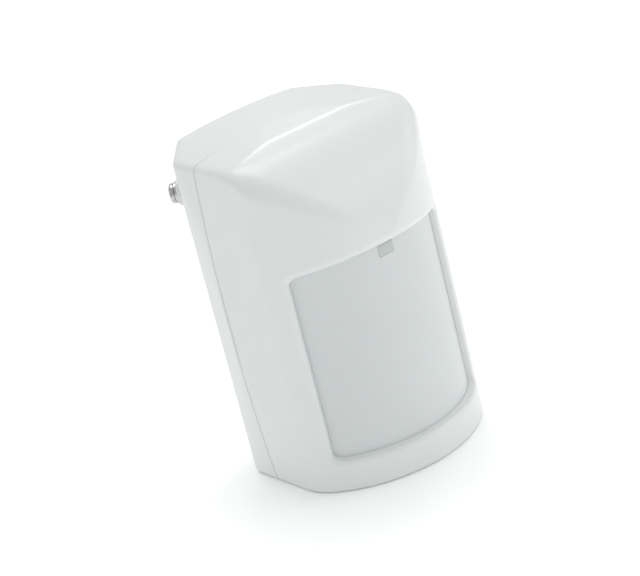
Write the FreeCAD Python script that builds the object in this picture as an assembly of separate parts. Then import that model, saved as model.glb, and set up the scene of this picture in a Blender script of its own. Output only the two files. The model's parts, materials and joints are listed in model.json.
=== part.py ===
import FreeCAD, Part
import os
from math import hypot

# Wired passive infrared motion sensor, millimetres.
# +Z up, the window faces -Y, the wall face is the +Y side, origin under the middle of the box.

# driving dimensions of the case
height = 86.0
depth = 51.5
wall_half_width = 17.9
bevel_depth = 10.6
bevel_half_width = 27.1
seam_depth = 8.8
seam_half_width = 29.0
shoulder_depth = 25.3
shoulder_half_width = 27.0
case_wall = 2.0
seam_gap = 0.25
top_corner_z = 84.0
ridge_run = 30.0
hood_mid = (-18.6, 77.2)
hood_lip_z = 59.0

# window and lens
window_half_width = 22.1
window_bottom_z = 8.5
window_side_top_z = 56.3
window_arch = 1.9
window_corner = 2.0
lens_thickness = 0.7
frame_thickness = 1.1
sheet_gap = 0.05
lens_overlap = 1.4

# circuit board
board_half_width = 21.0
board_bottom_z = 13.0
board_top_z = 74.0
board_thickness = 1.6
board_front_y = 10.2
board_travel = 2.5
running_gap = 0.2
mating_gap = 0.05

# cover: tamper post, top tongues and the edge roundings
shoulder_fillet = 3.0
ridge_fillet = 5.0
corner_fillet = 3.0
bottom_fillet = 1.2
tamper_post_y = -0.4
tongue_xs = (-13.0, 13.0)
tongue_half_width = 3.0
tongue_tall = 1.4
tongue_reach = 1.6
tongue_play = 1.3
tongue_root_y = -2.0

# rear case: board posts, guide ribs, fixing holes and cable entry
post_radius = 2.4
post_places = [(-16, 20), (16, 20), (-16, 66), (16, 66)]
post_gap = 0.1
boss_radius = 3.2
clamp_screw_z = 69.0
guide_rib_thickness = 1.5
guide_rib_low_z = 26.0
guide_rib_tall = 34.0
guide_rib_lap = 0.8
wall_hole_radius = 2.0
wall_hole_z = (22.0, 62.0)
bevel_hole_radius = 1.8
bevel_hole_place = 6.0
bevel_hole_z = (14.0, 74.5)
pad_radius = 3.4
pad_height = 1.4
cable_entry_half_width = 6.0
cable_entry_z = (5.0, 12.0)
locating_half_width = 6.0
locating_play = 0.3

# screws
mount_core = 1.5
mount_length = 9.0
mount_head_tall = 2.4
clamp_core = 1.25
clamp_head_tall = 2.0
screw_head_radius = 2.75
recess_depth = 1.1
recess_width = 0.7

# indicator window and lamp
indicator_half_width = 2.2
indicator_low_z = 54.8
indicator_high_z = 57.6
indicator_proud = 0.45
light_guide_radius = 1.1
lamp_radius = 1.45
lamp_tip_y = 4.4
lamp_z = 56.2

# infrared sensor
sensor_z = 38.0
sensor_radius = 4.6
sensor_can_radius = 4.1
sensor_tall = 4.0
sensor_window = (4.0, 3.0)
collar_radius = 6.4
collar_tall = 3.0

# terminal block
terminal_ways = 6
terminal_pitch = 5.0
terminal_low_z = 14.5
terminal_high_z = 22.5
terminal_tall = 9.0
terminal_screw_drop = 3.6
terminal_well_radius = 1.9
terminal_well_depth = 6.5

# three-way switch block and its levers
dip_low_x = 6.0
dip_low_z = 52.0
dip_pitch = 2.54
dip_ways = 3
dip_tall = 2.8
dip_high = 5.6
dip_travel = 1.2
lever_half_width = 0.7
lever_rise = 0.9
lever_gap = 0.06

# tamper switch and its plunger
tamper_x = 16.0
tamper_z = 67.0
tamper_half_width = 3.2
tamper_tall = 6.0
plunger_radius = 1.6
plunger_gap = 0.3

# values that follow from the ones above
wall_y = depth / 2
front_y = -depth / 2
bevel_y = wall_y - bevel_depth
seam_y = bevel_y - seam_depth
shoulder_y = bevel_y - shoulder_depth
bow_rise = shoulder_y - front_y
front_radius = (shoulder_half_width ** 2 + bow_rise ** 2) / (2 * bow_rise)
front_axis_y = front_y + front_radius
lens_radius = front_radius - case_wall - sheet_gap
board_back_y = board_front_y + board_thickness
inner_wall_y = wall_y - case_wall
seat_y = board_front_y - mating_gap
terminal_front_y = seat_y - terminal_tall
tamper_front_y = seat_y - tamper_tall
bevel_run = (bevel_half_width - wall_half_width, -bevel_depth)
bevel_length = hypot(*bevel_run)
bevel_normal = (bevel_depth / bevel_length, bevel_run[0] / bevel_length)
past = 5.0
window_cut_end_y = -8.0

X = FreeCAD.Vector(1, 0, 0)
Y = FreeCAD.Vector(0, 1, 0)
Z = FreeCAD.Vector(0, 0, 1)


def vec(x, y, z):
    return FreeCAD.Vector(x, y, z)


def box(low, high):
    size = [b - a for a, b in zip(low, high)]
    return Part.makeBox(size[0], size[1], size[2], vec(*low))


def rod(radius, start, end):
    start = vec(*start)
    run = vec(*end) - start
    return Part.makeCylinder(radius, run.Length, start, run)


def line(a, b):
    return Part.LineSegment(vec(*a), vec(*b)).toShape()


def arc(a, mid, b):
    return Part.Arc(vec(*a), vec(*mid), vec(*b)).toShape()


def prism(edges, inset, run):
    """Closed outline, drawn in by the inset, swept along the run."""
    wire = Part.Wire(edges)
    if inset:
        wire = wire.makeOffset2D(-inset)
    return Part.Face(wire).extrude(run)


def save(shape, node):
    if len(shape.Solids) == 1:
        shape = shape.Solids[0]
    shape.exportStep("parts/" + node + ".step")


def plan_block(inset):
    """Seen from above: wall face, rear bevels, waist at the seam and bowed front."""
    corners = [(wall_half_width, wall_y), (bevel_half_width, bevel_y),
               (seam_half_width, seam_y), (shoulder_half_width, shoulder_y)]
    low = -1.0
    edges = [line((-wall_half_width, wall_y, low), (wall_half_width, wall_y, low))]
    for side in (1, -1):
        for a, b in zip(corners, corners[1:]):
            edges.append(line((side * a[0], a[1], low), (side * b[0], b[1], low)))
    edges.append(arc((-shoulder_half_width, shoulder_y, low), (0, front_y, low),
                     (shoulder_half_width, shoulder_y, low)))
    return prism(Part.__sortEdges__(edges), inset, Z * (height + 2))


def side_block(inset):
    """Seen from the side: flat top, ridge, domed hood and straight front."""
    w = seam_half_width + 1
    top = height + 0.5
    ridge = wall_y - ridge_run
    edges = [line((-w, wall_y, 0), (-w, wall_y, top)),
             line((-w, wall_y, top), (-w, ridge, height - 0.4)),
             arc((-w, ridge, height - 0.4), (-w, hood_mid[0], hood_mid[1]),
                 (-w, front_y, hood_lip_z)),
             line((-w, front_y, hood_lip_z), (-w, front_y, 0)),
             line((-w, front_y, 0), (-w, wall_y, 0))]
    return prism(edges, inset, X * (2 * w))


def front_block(inset):
    """Seen from the front: flat bottom, bowed sides, arched top."""
    y = front_y - 1
    w = bevel_half_width
    edges = [line((-w, y, 0), (w, y, 0)),
             arc((w, y, 0), (seam_half_width, y, height / 2), (w, y, top_corner_z)),
             arc((w, y, top_corner_z), (0, y, height), (-w, y, top_corner_z)),
             arc((-w, y, top_corner_z), (-seam_half_width, y, height / 2), (-w, y, 0))]
    block = prism(edges, inset, Y * (depth + 2))
    high = [e for e in block.Edges if is_along(e, Y) and e.BoundBox.ZMin > height / 2]
    block = block.makeFillet(corner_fillet - inset / 2, high)
    low = [e for e in block.Edges if is_along(e, Y) and e.BoundBox.ZMax < height / 2]
    return block.makeFillet(bottom_fillet, low)


def is_along(edge, axis):
    if len(edge.Vertexes) != 2:
        return False
    run = edge.Vertexes[1].Point - edge.Vertexes[0].Point
    if run.Length < 1e-6:
        return False
    return abs(abs(run.normalize().dot(axis)) - 1) < 1e-6


def rounded_plan(inset):
    """Plan block with its four upright front and rear corners rounded."""
    block = plan_block(inset)
    shoulders = []
    for edge in block.Edges:
        if is_along(edge, Z) and edge.BoundBox.YMax < seam_y - 2:
            shoulders.append(edge)
    return block.makeFillet(shoulder_fillet, shoulders)


def rounded_side(inset):
    """Side block with the ridge across the top rounded."""
    block = side_block(inset)
    ridge = []
    for edge in block.Edges:
        near = abs(edge.BoundBox.YMax - (wall_y - ridge_run)) < 1.5
        if is_along(edge, X) and near and edge.BoundBox.ZMin > height - 4:
            ridge.append(edge)
    return block.makeFillet(ridge_fillet, ridge)


def case_block(inset):
    """Whole outer form of the sensor, drawn in by the inset."""
    return rounded_plan(inset).common(rounded_side(inset)).common(front_block(inset))


def half_space(y_from, y_to):
    w = seam_half_width + past
    return box((-w, y_from, -past), (w, y_to, height + past))


def window_outline(grow, y):
    """Edges of the window seen from the front, larger by grow."""
    w = window_half_width + grow
    low = window_bottom_z - grow
    side = window_side_top_z + grow
    mid = side + window_arch
    return [line((-w, y, low), (w, y, low)), line((w, y, low), (w, y, side)),
            arc((w, y, side), (0, y, mid), (-w, y, side)), line((-w, y, side), (-w, y, low))]


def window_cutter(grow, y_from, y_to):
    cutter = prism(window_outline(grow, y_from), 0, Y * (y_to - y_from))
    upright = [e for e in cutter.Edges if is_along(e, Y)]
    return cutter.makeFillet(window_corner + max(grow, 0), upright)


def curved_sheet(outer_radius, thickness, grow):
    """Upright cylindrical sheet behind the window, cut to the window's outline."""
    ring = Part.makeCylinder(outer_radius, height, vec(0, front_axis_y, 0))
    ring = ring.cut(Part.makeCylinder(outer_radius - thickness, height, vec(0, front_axis_y, 0)))
    return ring.common(window_cutter(grow, front_y - past, window_cut_end_y))


def front_cover(outer, inner):
    """Cover shell with the window cut through, the tamper post and two top tongues."""
    shell = outer.cut(inner).common(half_space(front_y - past, seam_y - seam_gap))
    shell = shell.cut(window_cutter(0, front_y - past, window_cut_end_y))
    shell = shell.fuse(tamper_post().common(outer))
    for x in tongue_xs:
        for part in top_tongue(x):
            shell = shell.fuse(part)
    return shell.removeSplitter()


def tamper_post():
    """Rib inside the cover's front that reaches back to the tamper plunger."""
    return box((tamper_x - 2, front_y + 4, tamper_z - 4),
               (tamper_x + 2, tamper_post_y, tamper_z + 4))


def top_tongue(x):
    """Arm that hooks under the rear case's top wall, and its root on the cover."""
    left = x - tongue_half_width
    right = x + tongue_half_width
    high = height - case_wall - tongue_play
    low = high - tongue_tall
    arm = box((left, tongue_root_y, low), (right, seam_y + tongue_reach, high))
    root = box((left, tongue_root_y, low), (right, 2, height - case_wall / 2))
    return arm, root


def lens():
    """Thin plastic lens sheet bent behind the window, notched for the indicator window."""
    sheet = curved_sheet(lens_radius, lens_thickness, lens_overlap)
    notch = indicator_window_block(0.06)
    return sheet.cut(notch)


def lens_frame():
    """Frame that holds the lens sheet's border against the cover."""
    outer_radius = lens_radius - lens_thickness - sheet_gap
    frame = curved_sheet(outer_radius, frame_thickness, lens_overlap)
    frame = frame.cut(window_cutter(-0.6, front_y - past, window_cut_end_y))
    return frame


def indicator_window_block(grow):
    w = indicator_half_width + grow
    return box((-w, front_y, indicator_low_z - grow), (w, -18, indicator_high_z + grow))


def indicator_window():
    """Tinted tab on the lens with a light guide running back towards the lamp."""
    axis_foot = vec(0, front_axis_y, 0)
    slab = Part.makeCylinder(lens_radius + indicator_proud, height, axis_foot)
    slab = slab.cut(Part.makeCylinder(lens_radius - lens_thickness, height, axis_foot))
    tab = slab.common(indicator_window_block(0))
    mid_z = (indicator_low_z + indicator_high_z) / 2
    guide = rod(light_guide_radius, (0, front_axis_y - lens_radius + 0.3, mid_z),
                (0, lamp_tip_y - 1.0, mid_z))
    return tab.fuse(guide).removeSplitter()


def bevel_point(side, out, z):
    """Point over the middle of a bevel, standing out from its face."""
    along = bevel_hole_place / bevel_length
    x = bevel_half_width - bevel_run[0] * along + bevel_normal[0] * out
    y = bevel_y - bevel_run[1] * along + bevel_normal[1] * out
    return (side * x, y, z)


def rear_case(outer, inner):
    """Rear shell with board posts, guide ribs, fixing holes and the cable entry."""
    shell = outer.cut(inner).common(half_space(seam_y, wall_y + past))
    for part in board_supports() + locating_tongue():
        shell = shell.fuse(part)
    for side in (-1, 1):
        shell = shell.fuse(guide_rib(side).common(outer))
    pad_z = bevel_hole_z[1]
    pad = rod(pad_radius, bevel_point(-1, -1.5, pad_z), bevel_point(-1, pad_height, pad_z))
    shell = shell.fuse(pad)
    for hole in fixing_holes():
        shell = shell.cut(hole)
    return shell.removeSplitter()


def board_supports():
    """Four posts and the clamping screw's boss, from the wall face to the board."""
    front = board_back_y + post_gap
    back = wall_y - case_wall / 2
    posts = [rod(post_radius, (x, front, z), (x, back, z)) for x, z in post_places]
    return posts + [rod(boss_radius, (0, front, clamp_screw_z), (0, back, clamp_screw_z))]


def guide_rib(side):
    """Upright rib that the board's long edge slides along."""
    near = board_half_width + running_gap
    xs = sorted((side * near, side * (near + guide_rib_thickness)))
    return box((xs[0], board_front_y - guide_rib_lap, guide_rib_low_z),
               (xs[1], wall_y - case_wall / 4, guide_rib_low_z + guide_rib_tall))


def locating_tongue():
    """Tongue at the bottom that lines the cover up with the rear case."""
    w = locating_half_width
    low = case_wall + locating_play
    high = low + tongue_tall
    tongue = box((-w, seam_y - 3.5, low), (w, seam_y + 5, high))
    root = box((-w, seam_y + 2, case_wall / 2), (w, seam_y + 5, high))
    return [tongue, root]


def fixing_holes():
    """Cutters for the clamping screw, wall holes, bevel holes and cable entry."""
    holes = [rod(clamp_core, (0, 0, clamp_screw_z), (0, board_back_y + 9, clamp_screw_z))]
    for z in wall_hole_z:
        holes.append(rod(wall_hole_radius, (0, inner_wall_y - 1, z), (0, wall_y + 1, z)))
    for side in (-1, 1):
        for z in bevel_hole_z:
            ends = (bevel_point(side, -4, z), bevel_point(side, 4, z))
            holes.append(rod(bevel_hole_radius, *ends))
    w = cable_entry_half_width
    holes.append(box((-w, inner_wall_y - 1, cable_entry_z[0]), (w, wall_y + 1, cable_entry_z[1])))
    return holes


def pan_head(radius, tall):
    """Pan head along +Z from z=0, crowned, with a cross recess."""
    head = Part.makeCylinder(radius, tall)
    rim = [e for e in head.Edges if e.BoundBox.ZMin > tall - 1e-6]
    head = head.makeFillet(tall * 0.55, rim)
    reach = radius * 0.55
    half = recess_width / 2
    for size in ((reach, half), (half, reach)):
        low = (-size[0], -size[1], tall - recess_depth)
        head = head.cut(box(low, (size[0], size[1], tall + 1)))
    return head


def screw(core, length, head_radius, head_tall):
    """Screw with its head on +Z and its point at -length, seat at z=0."""
    shank = Part.makeCylinder(core, length - core, vec(0, 0, core - length))
    tip = Part.makeCone(0.15, core, core, vec(0, 0, -length))
    return pan_head(head_radius, head_tall).fuse(shank).fuse(tip).removeSplitter()


def placed(shape, point, direction):
    shape = shape.copy()
    shape.Placement = FreeCAD.Placement(vec(*point), FreeCAD.Rotation(Z, vec(*direction)))
    return shape


def corner_screw():
    """Loose pan-head fixing screw standing in the upper hole of the left bevel."""
    direction = (-bevel_normal[0], bevel_normal[1], 0)
    piece = screw(mount_core, mount_length, screw_head_radius, mount_head_tall)
    seat = bevel_point(-1, pad_height + mating_gap, bevel_hole_z[1])
    return placed(piece, seat, direction)


def board_screw():
    """Screw that clamps the board through its long slot."""
    piece = screw(clamp_core - 0.02, mount_length, screw_head_radius, clamp_head_tall)
    return placed(piece, (0, seat_y, clamp_screw_z), (0, -1, 0))


def on_board(low, high, tall):
    """Box on the board's front face: low and high are (x, z) corners."""
    return box((low[0], seat_y - tall, low[1]), (high[0], seat_y, high[1]))


def circuit_board():
    """Board with the slot for its clamping screw and rounded corners."""
    w = board_half_width
    board = box((-w, board_front_y, board_bottom_z), (w, board_back_y, board_top_z))
    board = board.makeFillet(1.5, [e for e in board.Edges if is_along(e, Y)])
    half = clamp_core + 0.45
    ends = (clamp_screw_z - board_travel - 0.5, clamp_screw_z + board_travel + 0.5)
    slot = box((-half, 0, ends[0]), (half, wall_y, ends[1]))
    for z in ends:
        slot = slot.fuse(rod(half, (0, 0, z), (0, wall_y, z)))
    return board.cut(slot.removeSplitter())


def sensor_can():
    """Metal can of the infrared sensor with its brim and window opening."""
    front = seat_y - sensor_tall
    wide, high = sensor_window[0] / 2, sensor_window[1] / 2
    can = rod(sensor_can_radius, (0, seat_y, sensor_z), (0, front, sensor_z))
    brim = rod(sensor_radius, (0, seat_y, sensor_z), (0, seat_y - 0.6, sensor_z))
    opening = box((-wide, front - 1, sensor_z - high), (wide, front + 0.8, sensor_z + high))
    return can.fuse(brim).cut(opening).removeSplitter()


def sensor_filter():
    """Dark filter pane let into the can's window."""
    front = seat_y - sensor_tall
    wide, high = sensor_window[0] / 2 - 0.03, sensor_window[1] / 2 - 0.03
    return box((-wide, front + 0.1, sensor_z - high), (wide, front + 0.75, sensor_z + high))


def sensor_collar():
    """White plastic collar that shades the can from stray light and draughts."""
    collar = rod(collar_radius, (0, seat_y, sensor_z), (0, seat_y - collar_tall, sensor_z))
    return collar.cut(rod(sensor_radius + 0.1, (0, wall_y, sensor_z), (0, 0, sensor_z)))


def terminal_xs():
    """Middle of each way of the terminal block."""
    start = -terminal_pitch * (terminal_ways - 1) / 2
    return [start + i * terminal_pitch for i in range(terminal_ways)]


def terminal_block():
    """Six-way block: screw wells in front, wire holes underneath."""
    w = terminal_pitch * terminal_ways / 2
    front = terminal_front_y
    z = terminal_high_z - terminal_screw_drop
    block = on_board((-w, terminal_low_z), (w, terminal_high_z), terminal_tall)
    for x in terminal_xs():
        block = block.cut(rod(terminal_well_radius, (x, front - 1, z),
                              (x, front + terminal_well_depth, z)))
        block = block.cut(box((x - 1.6, front + 3.2, terminal_low_z - 1),
                              (x + 1.6, front + terminal_well_depth, terminal_high_z - 2.2)))
    return block


def terminal_screws():
    """Small screws at the bottom of the wells."""
    piece = screw(1.2, 3.6, 1.75, 1.4)
    z = terminal_high_z - terminal_screw_drop
    screws = []
    for x in terminal_xs():
        screws.append(placed(piece, (x, terminal_front_y + 2.4, z), (0, -1, 0)))
    return Part.makeCompound(screws)


def terminal_clamps():
    """Tin-plated clamp plates under the screws."""
    front = terminal_front_y
    z = terminal_high_z - terminal_screw_drop
    plates = []
    for x in terminal_xs():
        plate = box((x - 1.45, front + 3.3, terminal_low_z + 0.6),
                    (x + 1.45, front + 4.1, terminal_high_z - 2.4))
        plates.append(plate.cut(rod(1.25, (x, front, z), (x, front + 8, z))))
    return Part.makeCompound(plates)


def status_lamp():
    """Three-millimetre lamp standing on the board behind the light guide."""
    dome = (0, lamp_tip_y + lamp_radius, lamp_z)
    lamp = rod(lamp_radius, (0, seat_y, lamp_z), dome)
    lamp = lamp.fuse(Part.makeSphere(lamp_radius, vec(*dome)))
    brim = rod(lamp_radius + 0.25, (0, seat_y, lamp_z), (0, seat_y - 0.9, lamp_z))
    return lamp.fuse(brim).removeSplitter()


def capacitors():
    """Two upright electrolytic capacitors."""
    top_y = seat_y - 7.0
    cans = []
    for x, z in ((-16.5, 32.0), (-16.5, 40.0)):
        can = rod(2.5, (x, seat_y, z), (x, top_y, z))
        rim = [e for e in can.Edges if e.BoundBox.YMax < top_y + 0.1]
        cans.append(can.makeFillet(0.5, rim))
    return Part.makeCompound(cans)


def resistors():
    """Row of small flat resistors."""
    pieces = []
    for column in range(3):
        for row in range(4):
            x = 9.0 + column * 3.4
            z = 42.0 + row * 2.0
            pieces.append(on_board((x, z), (x + 2.0, z + 1.2), 0.6))
    return Part.makeCompound(pieces)


def chip():
    """Control chip with gull-wing legs along both long edges."""
    body = on_board((7.0, 27.0), (16.0, 31.0), 1.6)
    for i in range(7):
        x = 7.6 + i * 1.27
        body = body.fuse(on_board((x, 25.9), (x + 0.4, 32.1), 0.3))
    return body.removeSplitter()


def crystal():
    """Metal crystal can lying along the board."""
    can = on_board((7.0, 35.0), (17.0, 38.5), 3.2)
    return can.makeFillet(1.2, [e for e in can.Edges if is_along(e, Y)])


def relay():
    """Sealed alarm relay with softly rounded edges."""
    body = on_board((-19.5, 47.5), (-4.5, 55.0), 8.0)
    return body.makeFillet(0.4, body.Edges)


def dip_xs():
    """Middle of each lever."""
    return [dip_low_x + dip_pitch * (i + 0.5) + 0.6 for i in range(dip_ways)]


def dip_slots(grow):
    """Levers of the switch block, or with a gap to grow by, the slots they slide in."""
    front = seat_y - dip_tall
    w = lever_half_width + grow
    low = dip_low_z + 1.3
    high = low + 1.3 + grow
    if grow:
        high += dip_travel
    slots = []
    for x in dip_xs():
        slots.append(box((x - w, front - lever_rise, low - grow), (x + w, front + 1.2 + grow, high)))
    return slots


def dip_switch():
    """Three-way switch block with a slot for each lever."""
    wide = dip_pitch * dip_ways + 1.2
    body = on_board((dip_low_x, dip_low_z), (dip_low_x + wide, dip_low_z + dip_high), dip_tall)
    for slot in dip_slots(lever_gap):
        body = body.cut(slot)
    return body


def tamper_switch():
    """Push switch that opens when the cover comes off, with a hole for its plunger."""
    w = tamper_half_width
    body = on_board((tamper_x - w, tamper_z - w), (tamper_x + w, tamper_z + w), tamper_tall)
    return body.cut(rod(plunger_radius + lever_gap, (tamper_x, tamper_front_y - 1, tamper_z),
                        (tamper_x, tamper_front_y + 4.5, tamper_z)))


def tamper_plunger():
    """Plunger with a rounded tip, just clear of the cover's post."""
    tip_y = tamper_post_y + plunger_gap
    plunger = rod(plunger_radius, (tamper_x, tip_y, tamper_z),
                  (tamper_x, tamper_front_y + 3.2, tamper_z))
    tip = [e for e in plunger.Edges if e.BoundBox.YMax < tip_y + 0.01]
    return plunger.makeFillet(0.6, tip)


def build():
    os.makedirs("parts", exist_ok=True)
    outer = case_block(0)
    inner = case_block(case_wall)
    save(front_cover(outer, inner), "front_cover")
    save(lens(), "fresnel_lens")
    save(lens_frame(), "lens_frame")
    save(indicator_window(), "indicator_light_guide")
    save(rear_case(outer, inner), "rear_case")
    save(corner_screw(), "corner_mount_screw")
    save(board_screw(), "board_clamp_screw")
    save(circuit_board(), "circuit_board")
    save(sensor_can(), "infrared_sensor_can")
    save(sensor_filter(), "infrared_sensor_filter")
    save(sensor_collar(), "sensor_collar")
    save(terminal_block(), "terminal_block")
    save(terminal_screws(), "terminal_screws")
    save(terminal_clamps(), "terminal_clamps")
    save(status_lamp(), "status_lamp")
    save(relay(), "alarm_relay")
    save(capacitors(), "capacitors")
    save(resistors(), "resistors")
    save(chip(), "control_chip")
    save(crystal(), "crystal")
    save(dip_switch(), "dip_switch_block")
    for number, lever in enumerate(dip_slots(0), 1):
        save(lever, "dip_lever_%d" % number)
    save(tamper_switch(), "tamper_switch")
    save(tamper_plunger(), "tamper_plunger")


build()
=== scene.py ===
import json
import math

import bmesh
import bpy
import numpy as np
from mathutils import Matrix, Vector


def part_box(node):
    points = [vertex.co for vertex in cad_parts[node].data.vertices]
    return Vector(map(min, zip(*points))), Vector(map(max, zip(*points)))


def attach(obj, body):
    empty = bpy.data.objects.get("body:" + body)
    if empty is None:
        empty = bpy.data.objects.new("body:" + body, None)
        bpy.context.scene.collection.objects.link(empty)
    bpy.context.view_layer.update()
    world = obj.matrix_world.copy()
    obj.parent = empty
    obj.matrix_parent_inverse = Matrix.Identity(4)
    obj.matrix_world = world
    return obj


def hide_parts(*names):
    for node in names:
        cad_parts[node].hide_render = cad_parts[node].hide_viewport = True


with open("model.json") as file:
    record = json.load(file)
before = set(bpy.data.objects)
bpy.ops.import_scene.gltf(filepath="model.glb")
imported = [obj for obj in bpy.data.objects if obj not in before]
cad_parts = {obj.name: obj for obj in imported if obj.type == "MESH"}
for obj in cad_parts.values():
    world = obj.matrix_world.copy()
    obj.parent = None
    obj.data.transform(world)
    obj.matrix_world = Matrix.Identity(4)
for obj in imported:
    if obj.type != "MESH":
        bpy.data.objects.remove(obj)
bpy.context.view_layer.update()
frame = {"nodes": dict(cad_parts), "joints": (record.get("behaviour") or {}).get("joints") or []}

# ---------------------------------------------------------------------------------------------
# Camera: a long lens on the front left, a little above, rolled so that the sensor leans left.
# It aims at a point inside the case, and a small shift sets the sensor in the picture.

mm = 0.001
azimuth, elevation, roll = math.radians(34.0), math.radians(21.3), math.radians(-14.1)
aim = Vector((0.0, -2.85, 43.0)) * mm
distance = 552.0 * mm
film_wide, focal_length = 36.0, 127.4
shift_across, shift_up = -0.0375, -0.0041
nearest = 10.0 * mm

camera = bpy.data.objects.new("camera", bpy.data.cameras.new("camera"))
bpy.context.scene.collection.objects.link(camera)
turn = Matrix.Rotation(-azimuth, 4, "Z") @ Matrix.Rotation(math.pi / 2 - elevation, 4, "X")
turn = turn @ Matrix.Rotation(roll, 4, "Z")
camera.matrix_world = Matrix.Translation(aim + turn.to_3x3() @ Vector((0, 0, distance))) @ turn
camera.data.sensor_width = film_wide
camera.data.lens = focal_length
camera.data.shift_x = shift_across
camera.data.shift_y = shift_up
camera.data.clip_start = nearest
bpy.context.scene.camera = camera

# ---------------------------------------------------------------------------------------------
# Studio: a table in an even pale room, whiter than a real one can be so that it fades into the
# background. Wide soft boxes stand on the right and overhead,
# and a small one behind on the right draws the streak of light along the hood's ridge.


def add_object(name, mesh):
    """Object in the scene made from a mesh."""
    thing = bpy.data.objects.new(name, mesh)
    bpy.context.scene.collection.objects.link(thing)
    return thing


def shader_of(name):
    """New node material: its nodes, its links and its surface shader."""
    material = bpy.data.materials.new(name)
    material.use_nodes = True
    tree = material.node_tree
    return material, tree.nodes, tree.links, tree.nodes["Principled BSDF"]


table_radius, table_sides = 6.0, 48
table_level = 1.15
room_colour, room_strength = (0.985, 1.0, 0.998, 1), 0.68

around = np.linspace(0, 2 * math.pi, table_sides, endpoint=False)
table_edge = [(table_radius * math.cos(a), table_radius * math.sin(a), 0) for a in around]
table_mesh = bpy.data.meshes.new("table")
table_mesh.from_pydata(table_edge, [], [tuple(range(table_sides))])
table = add_object("table", table_mesh)
table_white, _, _, shader = shader_of("table_white")
shader.inputs["Base Color"].default_value = (table_level, table_level, table_level, 1)
shader.inputs["Roughness"].default_value = 0.9
table_mesh.materials.append(table_white)

room = bpy.data.worlds.new("room")
room.use_nodes = True
background = room.node_tree.nodes["Background"]
background.inputs["Color"].default_value = room_colour
background.inputs["Strength"].default_value = room_strength
bpy.context.scene.world = room
bpy.context.scene.view_settings.view_transform = "Standard"


def soft_box(name, place, size, watts):
    """Square area lamp at a place, facing the sensor."""
    data = bpy.data.lights.new(name, "AREA")
    data.size = size
    data.energy = watts
    lamp = bpy.data.objects.new(name, data)
    bpy.context.scene.collection.objects.link(lamp)
    facing = (aim - Vector(place)).to_track_quat("-Z", "Y")
    lamp.matrix_world = Matrix.Translation(Vector(place)) @ facing.to_matrix().to_4x4()


soft_box("right_box", (0.90, -0.62, 0.50), 0.9, 2.0)
soft_box("overhead_box", (0.15, 0.20, 0.95), 0.6, 2.8)
soft_box("ridge_box", (0.50, 0.635, 0.605), 0.16, 0.42)

# ---------------------------------------------------------------------------------------------
# Rear case: a shallow shell moulded in glossy white plastic, screwed to a wall by its flat back
# or across a corner by its two bevels. Posts and a boss inside carry the board. Its outer form
# is shared with the cover: sides that bow out at the seam, a bowed front and a domed hood.

hinge = next(joint for joint in frame["joints"] if joint["name"] == "cover_hinge")
seam_y = hinge["pos_m"][1]
half_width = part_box("rear_case")[1].x
wall_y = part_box("rear_case")[1].y
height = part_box("rear_case")[1].z
front_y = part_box("front_cover")[0].y
case_wall = 2.0 * mm
rim_edge = 0.26 * mm

wall_corner = (17.9 * mm, wall_y)
bevel_corner = (27.1 * mm, wall_y - 10.6 * mm)
seam_corner = (half_width, seam_y)
shoulder = (27.0 * mm, wall_y - 35.9 * mm)
bow_depth = shoulder[1] - front_y
front_radius = (shoulder[0] ** 2 + bow_depth ** 2) / (2 * bow_depth)
front_axis_y = front_y + front_radius
ridge_y, ridge_z = wall_y - 30.0 * mm, height - 0.4 * mm
top_slope = 0.03
side_bow = half_width - bevel_corner[0]
side_radius = ((height / 2) ** 2 + side_bow ** 2) / (2 * side_bow)
top_rise = 2.0 * mm
top_radius = (bevel_corner[0] ** 2 + top_rise ** 2) / (2 * top_rise)
hood_radius = 27.65 * mm
hood_axis = (front_y + hood_radius, 58.6 * mm)
flare_low, flare_tall, flare_out = 68 * mm, 16 * mm, 1.3 * mm
arch_round, hood_round, brow_round = 3 * mm, 11 * mm, 7.0 * mm
seam_round, bow_round = 2 * mm, 25 * mm
shoulder_heights = [0, 45 * mm, 80 * mm]
shoulder_rounds = [22 * mm, 9 * mm, 2 * mm]
wall_round, rear_round, foot_round = 0.8 * mm, 1.0 * mm, 1.2 * mm


def flat_side(p, a, b):
    """Beyond the upright plane through two plan points: the distance and its direction."""
    run = np.array([b[0] - a[0], b[1] - a[1]]) / math.hypot(b[0] - a[0], b[1] - a[1])
    way = np.array([-run[1], run[0], 0.0])
    beyond = (p[..., 0] - a[0]) * way[0] + (p[..., 1] - a[1]) * way[1]
    return beyond, way + 0 * p


def round_side(p, across, axis, radius):
    """Beyond a round bar: distance and direction, from the two axes across the bar."""
    offset = np.zeros(p.shape)
    for i, centre in zip(across, axis):
        offset[..., i] = p[..., i] - centre
    length = np.maximum(np.linalg.norm(offset, axis=-1), 1e-9)
    return length - radius, offset / length[..., None]


def rounded(a, b, radius):
    """Both limits together, the edge where they meet rounded to the radius."""
    (da, na), (db, nb) = a, b
    cosine = np.clip((na * nb).sum(-1), -0.999, 0.9995)
    p, q = da + radius, db + radius
    u, v = p - q * cosine, q - p * cosine
    bend = 1 - cosine ** 2
    length = np.sqrt(np.maximum((p * u + q * v) / bend, 1e-18))
    on_edge = (u > 0) & (v > 0) & (p + q > 0)
    beyond = np.where(on_edge, length - radius, np.maximum(da, db))
    blend = (na * u[..., None] + nb * v[..., None]) / (bend * length)[..., None]
    way = np.where(on_edge[..., None], blend, np.where((da > db)[..., None], na, nb))
    return beyond, way


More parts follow.
